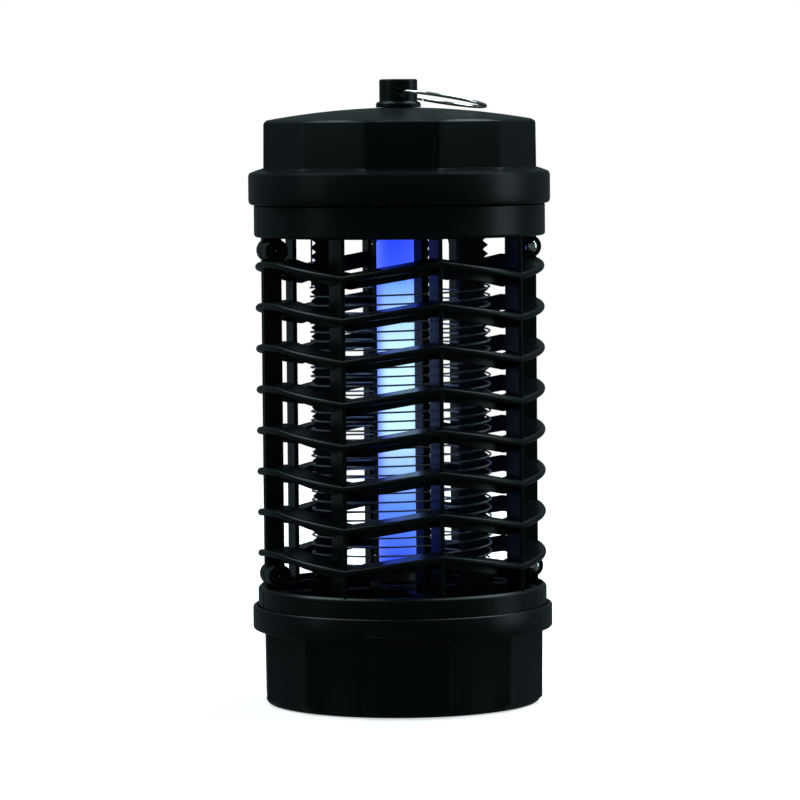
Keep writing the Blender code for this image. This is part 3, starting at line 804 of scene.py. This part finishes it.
def make_screw(node, out, twist):
    """A screw in the place of a frame node, its head towards `out`."""
    low, high = corners(node)
    size, centre = high - low, (low + high) / 2
    axis = max(range(3), key=lambda k: abs(out[k]))
    across = (axis + 1) % 3
    head_r = size[across] / 2
    shank_r = SHANK_R[head_r >= SMALL_HEAD_R]
    drive = bpy.context.scene.zapper_hanger.drive / MM
    bm = screw_mesh(size[axis] - SCREW_HEAD, shank_r, head_r, SCREW_HEAD, drive)
    bmesh.ops.rotate(bm, verts=bm.verts, matrix=Matrix.Rotation(math.radians(twist), 3, "Z"))
    turn = Vector(out).to_track_quat("Z", "Y").to_matrix()
    bmesh.ops.rotate(bm, verts=bm.verts, matrix=turn)
    seat = centre + Vector(out) * (size[axis] / 2 - SCREW_HEAD)
    bmesh.ops.translate(bm, verts=bm.verts, vec=seat)
    put_piece(node + "_cross", bm, nickel_plate(), "housing", [node])


def make_screws():
    for number, level in enumerate(("lower", "upper")):
        make_screw("cage_screw_front_" + level, (0, -1, 0), 20 + 35 * number)
        make_screw("cage_screw_rear_" + level, (0, 1, 0), 60 - 25 * number)
    for number in range(1, 5):
        make_screw("cap_screw_%d" % number, (0, 0, -1), 17 * number)
    for number, side in enumerate(("front", "right", "rear", "left")):
        make_screw("comb_screw_" + side, (0, 0, -1), 31 * number)
    for number in (1, 2):
        make_screw("board_screw_%d" % number, (0, 0, 1), 40 * number)


# Lamp

LAMP_PIN = 6.4           # length of a contact pin
LAMP_PIN_X = 2.38
HOLDER_STEP = 2.95       # how far a holder's flange stands out from its body


def make_lamp():
    low, high = corners("lamp_tube")
    centre = middle("lamp_tube").x
    radius = (high.x - low.x) / 2
    outline = [(0, low.z), (radius - 1.4, low.z), (radius - 0.5, low.z + 0.4), (radius, low.z + 1.5),
               (radius, high.z - 1.5), (radius - 0.5, high.z - 0.4), (radius - 1.4, high.z), (0, high.z)]
    bm = bmesh.new()
    turned(bm, outline, 64, closed=False)
    bmesh.ops.translate(bm, verts=bm.verts, vec=(centre, 0, 0))
    put_piece("lamp_glass", bm, lit_glass(), "housing", ["lamp_tube"])
    for node, out in (("lamp_cap_lower", -1), ("lamp_cap_upper", 1)):
        make_lamp_cap(node, out, centre)


def make_lamp_cap(node, out, centre):
    """Crimped end cap with two contact pins."""
    low, high = corners(node)
    radius = (high.x - low.x) / 2
    near = high.z if out < 0 else low.z
    face = near + out * (high.z - low.z - LAMP_PIN)
    bead = near + out * 1.6
    bm = bmesh.new()
    turned(bm, [(0, near), (radius, near), (radius, near + out * 0.9), (radius - 0.35, near + out * 1.2),
                (radius - 0.35, bead + out * 0.4), (radius, bead + out * 0.7), (radius, face - out * 0.8),
                (radius - 0.8, face), (0, face)], 48, closed=False)
    for side in (-1, 1):
        x = side * LAMP_PIN_X
        rod(bm, (x, 0, face - out), (x, 0, face + out * LAMP_PIN), 1.05, 16)
    bmesh.ops.translate(bm, verts=bm.verts, vec=(centre, 0, 0))
    put_piece(node + "_crimped", bm, holder_black(), "housing", [node], 0.15, 2)


def make_lamp_holders():
    """Holders: a flange, a round body and two holes for the pins."""
    centre = middle("lamp_tube").x
    for node, out in (("lower_lamp_holder", -1), ("upper_lamp_holder", 1)):
        low, high = corners(node)
        near = high.z if out < 0 else low.z
        depth = high.z - low.z
        flange_r = (high.x - low.x) / 2
        body_r = flange_r - HOLDER_STEP
        seat = corners("lower_spider")[0].z + 6.4 if out < 0 else corners("upper_deck")[0].z - 0.3
        flange = min(max(out * (seat - near), 1.2), depth * 0.5)
        outline = [(0, 0), (flange_r - 0.6, 0), (flange_r, 0.5), (flange_r, flange - 0.3),
                   (flange_r - 0.4, flange), (body_r, flange), (body_r, depth - 0.6),
                   (body_r - 0.6, depth), (0, depth)]
        bm = bmesh.new()
        turned(bm, [(r, near + out * z) for r, z in outline], 48, closed=False)
        holes = bmesh.new()
        for side in (-1, 1):
            x = side * LAMP_PIN_X
            rod(holes, (x, 0, near - out), (x, 0, near + out * (LAMP_PIN + 0.8)), 1.5, 16)
        bm = cut(bm, holes)
        bmesh.ops.translate(bm, verts=bm.verts, vec=(centre, 0, 0))
        put_piece(node + "_shell", bm, holder_black(), "housing", [node], 0.2, 2)


# Grid

COMB_TOOTH_R = 37.5      # tip of a tooth
COMB_ROOT_R = 35.5       # root of a notch
COMB_INNER_R = 25.0
COMB_SCREW_R = 33.9
COMB_FOOT = 3.0
GRID_BASE_Z = 56.5       # height of the first winding at bearing 0
GRID_TURNS = 15.5
WIRE_STEPS = 72          # facets in one turn of wire


def comb_outline(bearing, low, high):
    """Side view of a comb with a round-rooted notch wherever one of the two wires crosses it."""
    pitch = bpy.context.scene.zapper_grid.lead / MM / 2
    notch = GRID_BASE_Z + pitch * ((bearing / 180) % 1) - 3 * pitch
    edge = [(COMB_INNER_R - 0.9, low), (COMB_TOOTH_R + 1.4, low), (COMB_TOOTH_R + 1.4, low + COMB_FOOT),
            (COMB_ROOT_R, low + COMB_FOOT)]
    while notch + pitch / 2 < high - 0.5:
        if notch - pitch / 2 > low + COMB_FOOT + 0.3:
            edge += [(COMB_TOOTH_R, notch - pitch * 0.46), (COMB_ROOT_R, notch - pitch * 0.05),
                     (COMB_ROOT_R, notch + pitch * 0.05), (COMB_TOOTH_R, notch + pitch * 0.46)]
        notch += pitch
    edge += [(COMB_ROOT_R, high), (COMB_INNER_R, high),
             (COMB_INNER_R, low + COMB_FOOT), (COMB_INNER_R - 0.9, low + COMB_FOOT)]
    return edge


def make_combs():
    thickness = bpy.context.scene.zapper_grid.comb / MM
    for side, bearing in (("front", 0), ("right", 90), ("rear", 180), ("left", 270)):
        node = "grid_comb_" + side
        low, high = corners(node)
        bm = bmesh.new()
        slab(bm, comb_outline(bearing, low.z, high.z), thickness)
        hole = bmesh.new()
        rod(hole, (COMB_SCREW_R, 0, low.z - 1), (COMB_SCREW_R, 0, low.z + 6), 1.05, 16)
        bm = cut(bm, hole)
        bmesh.ops.rotate(bm, verts=bm.verts, matrix=Matrix.Rotation(math.radians(bearing - 90), 3, "Z"))
        put_piece("comb_" + side, bm, comb_black(), "housing", [node], 0.22, 2)


def make_winding(node, first_bearing, offset):
    """One of the two interleaved windings: a helix, then a straight tail up through the deck."""
    grid = bpy.context.scene.zapper_grid
    radius, lead = grid.radius / MM, grid.lead / MM
    wire_r = grid.wire / 2 / MM
    start_z = GRID_BASE_Z - offset + lead * first_bearing / 360
    slope = math.atan2(lead, math.tau * radius)
    bm = bmesh.new()
    tilt = Matrix.Rotation(math.pi / 2 - slope, 4, "Y")
    bmesh.ops.create_circle(bm, cap_ends=True, segments=10, radius=wire_r,
                            matrix=Matrix.Translation((0, -radius, start_z)) @ tilt)
    bmesh.ops.rotate(bm, verts=bm.verts, matrix=Matrix.Rotation(math.radians(first_bearing), 3, "Z"))
    face = next(iter(bm.faces))
    turn = Matrix.Rotation(math.tau / WIRE_STEPS, 3, "Z")

    def move(step, verts):
        bmesh.ops.rotate(bm, verts=verts, matrix=turn)
        bmesh.ops.translate(bm, verts=verts, vec=(0, 0, lead / WIRE_STEPS))

    carried(bm, face, int(WIRE_STEPS * GRID_TURNS), move)
    end = first_bearing + 360 * GRID_TURNS
    end_z = GRID_BASE_Z - offset + lead * end / 360
    top = corners(node)[1].z
    place = at_bearing(radius, end)
    rod(bm, place + Vector((0, 0, end_z - wire_r * 0.6)), place + Vector((0, 0, top)), wire_r, 12)
    put_piece(node + "_round", bm, grid_steel(), "housing", [node])


# Tray

TRAY_CORNER_R = 58.5
TRAY_FLANGE_Z = (30.7, 40.4)
TRAY_FOOT = 2.2          # rounding at the foot of the tray, where its corners fade out
MARK_RELIEF = 0.2


def make_tray():
    shells = bpy.context.scene.zapper_shells
    wall = shells.wall / MM
    low, high = TRAY_FLANGE_Z
    rim = RIM_R - MARK_RELIEF
    bore = COLLAR_R + 0.6
    seat = corners("cage_front")[0].z - 0.3
    corner = TRAY_CORNER_R
    round_r = corner * math.cos(math.pi / SIDES)
    foot = [(round_r + 0.2 - TRAY_FOOT * (1 - math.sin(a)), TRAY_FOOT * (1 - math.cos(a)))
            for a in (math.radians(22.5 * k) for k in range(4))]
    outline = [(0, 0)] + foot + [(corner - 0.3, TRAY_FOOT + 0.6), (corner, low - 0.5),
               (corner + 0.5, low), (RIM_R - 0.9, low), (rim - 0.2, low + 0.3), (rim, low + 0.9),
               (rim, high - 0.9), (rim - 0.2, high - 0.3), (RIM_R - 0.9, high), (bore, high), (bore, seat),
               (corner - wall, seat), (corner - wall - 0.3, 4.0), (corner - wall - 2.0, 2.0), (0, 2.0)]
    bm = bmesh.new()
    turned(bm, outline, closed=False)
    bmesh.ops.rotate(bm, verts=bm.verts, matrix=Matrix.Rotation(shells.tray_turn, 3, "Z"))
    flatten_sides(bm, lambda r, z: corner - wall - 2.5 < r < corner + 0.2 and z > TRAY_FOOT - 0.3,
                  shells.tray_turn)
    add_turn_arrow(bm, (low + high) / 2 - 2.3)
    put_piece("tray_shell", bm, moulded_black(), "tray", ["catch_tray"], shells.edge / MM)


def add_turn_arrow(bm, z):
    """Raised arrow on the tray's rim for the direction of turning."""
    under = RIM_R - 1.0
    swept(bm, [(under, z - 0.35), (RIM_R, z - 0.35), (RIM_R, z + 0.35), (under, z + 0.35)],
          [-30 + 2 * k for k in range(8)])
    head = slab(bm, [(-1.6, z - 1.4), (1.9, z), (-1.6, z + 1.4)], 1.2)
    bmesh.ops.translate(bm, verts=head, vec=(0, 0.6 - RIM_R, 0))
    bmesh.ops.rotate(bm, verts=head, matrix=Matrix.Rotation(math.radians(-15), 3, "Z"))


# Frame nodes that keep their shape

KEPT = (
    (("upper_deck", "lower_spider"), comb_black, "black_plastic"),
    (("hanger_nut",), nickel_plate, "nickel_plate"),
    (("circuit_board",), solder_mask, "board_green"),
    (("film_capacitor_1", "film_capacitor_2", "film_capacitor_3", "film_capacitor_4", "bleed_resistor"),
     film_orange, "film_orange"),
    (("ballast_transformer", "rectifier_diode_1", "rectifier_diode_2", "rectifier_diode_3",
      "rectifier_diode_4"), part_black, "part_black"),
    (("terminal_block", "smoothing_capacitor"), sleeve_blue, "part_blue"),
    (("fuse",), grid_steel, "grid_steel"),
)


def finish_kept_nodes():
    for names, finish, slot in KEPT:
        for name in names:
            node = frame["nodes"][name]
            node.data.materials.clear()
            node.data.materials.append(finish())


# Stage

FLOOR_R = 1.1            # metres: a round table top in a white surround
FLOOR_Z = -0.0002
CAMERA_ROLL = math.radians(-0.5)
CAMERA_SHIFT = -0.0012
COOL = (0.76, 0.95, 1.0)
GLOW_WIDTH = 9.0
GLOW_POWER = 0.003
GLOW_TINT = (0.01, 0.03, 1.0)
LIGHT_AIM = Vector((0, 0, 0.12))
SOFTBOXES = (            # name, place, size and power
    ("right_box", (1.6, -0.5, 0.5), (0.7, 1.3), 5.0),
    ("left_box", (-1.9, -0.2, 0.6), (0.5, 1.3), 1.3),
    ("top_left_box", (-1.0, 0.5, 2.0), (1.0, 1.6), 32.0),
    ("top_right_box", (1.05, 0.1, 2.0), (1.0, 1.6), 38.0),
)


def make_floor():
    settings = bpy.context.scene.zapper_stage
    made = Surface("pale_floor", Roughness=0.85, Emission_Color=(1, 1, 1, 1), Emission_Strength=0.6)
    cloud = made.noise(1.5, 2.0)
    shade = [part * 0.97 for part in settings.floor]
    made.feed("Base Color", made.blend(cloud, settings.floor, shade))
    bm = bmesh.new()
    bmesh.ops.create_circle(bm, cap_ends=True, segments=96, radius=FLOOR_R)
    mesh = bpy.data.meshes.new("floor")
    bm.to_mesh(mesh)
    bm.free()
    mesh.materials.append(made.material)
    floor = bpy.data.objects.new("floor", mesh)
    floor.location.z = FLOOR_Z
    floor.visible_diffuse = False
    floor.visible_glossy = False
    bpy.context.scene.collection.objects.link(floor)


def area_light(name, place, facing, size, power, tint):
    light = bpy.data.lights.new(name, "AREA")
    light.shape = "RECTANGLE"
    light.size, light.size_y = size
    light.energy = power
    light.color = tint
    lamp = bpy.data.objects.new(name, light)
    lamp.location = place
    lamp.rotation_euler = facing.to_track_quat("-Z", "Y").to_euler()
    bpy.context.scene.collection.objects.link(lamp)
    return lamp


def make_glow(bearing):
    """A narrow strip beside the lit tube that carries its blue light to the parts round it."""
    low, high = corners("lamp_tube")
    tube_r = (high.x - low.x) / 2
    place = (at_bearing(tube_r + 0.3, bearing, (low.z + high.z) / 2)
             + Vector((middle("lamp_tube").x, 0, 0))) * MM
    size = GLOW_WIDTH * MM, (high.z - low.z) * MM
    strip = area_light("glow", place, at_bearing(1, bearing), size, GLOW_POWER, GLOW_TINT)
    strip.visible_camera = False


def make_world():
    """A white surround behind the object that lights it only softly."""
    world = bpy.data.worlds.new("studio")
    bpy.context.scene.world = world
    world.use_nodes = True
    tree = world.node_tree
    tree.nodes.clear()
    out = tree.nodes.new("ShaderNodeOutputWorld")
    mix = tree.nodes.new("ShaderNodeMixShader")
    seen = tree.nodes.new("ShaderNodeBackground")
    lit = tree.nodes.new("ShaderNodeBackground")
    path = tree.nodes.new("ShaderNodeLightPath")
    seen.inputs["Color"].default_value = (1, 1, 1, 1)
    seen.inputs["Strength"].default_value = 1.0
    lit.inputs["Color"].default_value = (0.68, 0.92, 1.0, 1)
    lit.inputs["Strength"].default_value = 0.11
    tree.links.new(path.outputs["Is Camera Ray"], mix.inputs[0])
    tree.links.new(lit.outputs[0], mix.inputs[1])
    tree.links.new(seen.outputs[0], mix.inputs[2])
    tree.links.new(mix.outputs[0], out.inputs[0])


def make_camera():
    settings = bpy.context.scene.zapper_stage
    turn, distance = settings.camera_turn, settings.camera_distance
    place = Vector((math.sin(turn) * distance, -math.cos(turn) * distance, settings.camera_height))
    camera = bpy.data.cameras.new("camera")
    camera.sensor_width = 36.0
    camera.lens = settings.camera_lens
    camera.shift_x = CAMERA_SHIFT
    holder = bpy.data.objects.new("camera", camera)
    aim = (Vector((0, 0, settings.aim_height)) - place).to_track_quat("-Z", "Y").to_matrix().to_4x4()
    holder.matrix_world = Matrix.Translation(place) @ aim @ Matrix.Rotation(CAMERA_ROLL, 4, "Z")
    bpy.context.scene.collection.objects.link(holder)
    bpy.context.scene.camera = holder


def make_stage():
    bpy.context.scene.view_settings.view_transform = "Standard"
    make_floor()
    make_world()
    make_camera()
    for name, place, size, power in SOFTBOXES:
        area_light(name, place, LIGHT_AIM - Vector(place), size, power, COOL)
    for bearing in range(45, 360, 90):
        make_glow(bearing)


# Operators and panel

class ZAPPER_OT_cap(bpy.types.Operator):
    """Make the domed cap and the bush in its rear flat"""

    bl_idname = "zapper.cap"
    bl_label = "Cap"

    def execute(self, context):
        make_cap()
        make_inlet_bush()
        return {"FINISHED"}


class ZAPPER_OT_hanger(bpy.types.Operator):
    """Make the stud and the ring that the zapper hangs by"""

    bl_idname = "zapper.hanger"
    bl_label = "Hanger"

    def execute(self, context):
        make_hanger_stud()
        make_ring()
        return {"FINISHED"}


class ZAPPER_OT_cage(bpy.types.Operator):
    """Make the two slatted halves of the cage"""

    bl_idname = "zapper.cage"
    bl_label = "Cage"

    def execute(self, context):
        make_cage()
        return {"FINISHED"}


class ZAPPER_OT_screws(bpy.types.Operator):
    """Make every cross-recessed screw"""

    bl_idname = "zapper.screws"
    bl_label = "Screws"

    def execute(self, context):
        make_screws()
        return {"FINISHED"}


class ZAPPER_OT_lamp(bpy.types.Operator):
    """Make the lit tube, its end caps and its holders"""

    bl_idname = "zapper.lamp"
    bl_label = "Lamp"

    def execute(self, context):
        make_lamp()
        make_lamp_holders()
        return {"FINISHED"}


class ZAPPER_OT_grid(bpy.types.Operator):
    """Make the four combs and the two windings on them"""

    bl_idname = "zapper.grid"
    bl_label = "Grid"

    def execute(self, context):
        pitch = context.scene.zapper_grid.lead / MM / 2
        make_combs()
        make_winding("live_grid_wire", 85, 0.0)
        make_winding("return_grid_wire", 275, pitch)
        return {"FINISHED"}


class ZAPPER_OT_tray(bpy.types.Operator):
    """Make the twist-off catch tray"""

    bl_idname = "zapper.tray"
    bl_label = "Catch tray"

    def execute(self, context):
        make_tray()
        return {"FINISHED"}


class ZAPPER_OT_inner_parts(bpy.types.Operator):
    """Give the decks and the electronics their finishes"""

    bl_idname = "zapper.inner_parts"
    bl_label = "Inner parts"

    def execute(self, context):
        finish_kept_nodes()
        return {"FINISHED"}


class ZAPPER_OT_stage(bpy.types.Operator):
    """Set up the floor, the studio light and the camera"""

    bl_idname = "zapper.stage"
    bl_label = "Stage"

    def execute(self, context):
        make_stage()
        return {"FINISHED"}


OPERATORS = (ZAPPER_OT_stage, ZAPPER_OT_cap, ZAPPER_OT_hanger, ZAPPER_OT_cage, ZAPPER_OT_screws,
             ZAPPER_OT_lamp, ZAPPER_OT_grid, ZAPPER_OT_tray, ZAPPER_OT_inner_parts)
GROUPS = {"zapper_shells": ZapperShells, "zapper_grid": ZapperGrid, "zapper_hanger": ZapperHanger,
          "zapper_stage": ZapperStage}


class ZAPPER_PT_sidebar(bpy.types.Panel):
    """Buttons and sizes of the bug zapper"""

    bl_idname = "ZAPPER_PT_sidebar"
    bl_label = "Bug Zapper"
    bl_space_type = "VIEW_3D"
    bl_region_type = "UI"
    bl_category = "Zapper"

    def draw(self, context):
        for operator in OPERATORS:
            self.layout.operator(operator.bl_idname)
        for name, group in GROUPS.items():
            box = self.layout.box()
            settings = getattr(context.scene, name)
            for key in group.__annotations__:
                box.prop(settings, key)


def register():
    for kind in (*GROUPS.values(), *OPERATORS, ZAPPER_PT_sidebar):
        bpy.utils.register_class(kind)
    for name, group in GROUPS.items():
        setattr(bpy.types.Scene, name, bpy.props.PointerProperty(type=group))


def unregister():
    for name in GROUPS:
        delattr(bpy.types.Scene, name)
    for kind in reversed((*GROUPS.values(), *OPERATORS, ZAPPER_PT_sidebar)):
        bpy.utils.unregister_class(kind)


def main():
    register()
    for operator in OPERATORS:
        getattr(bpy.ops.zapper, operator.bl_idname.split(".")[1])()


if __name__ == "__main__":
    main()
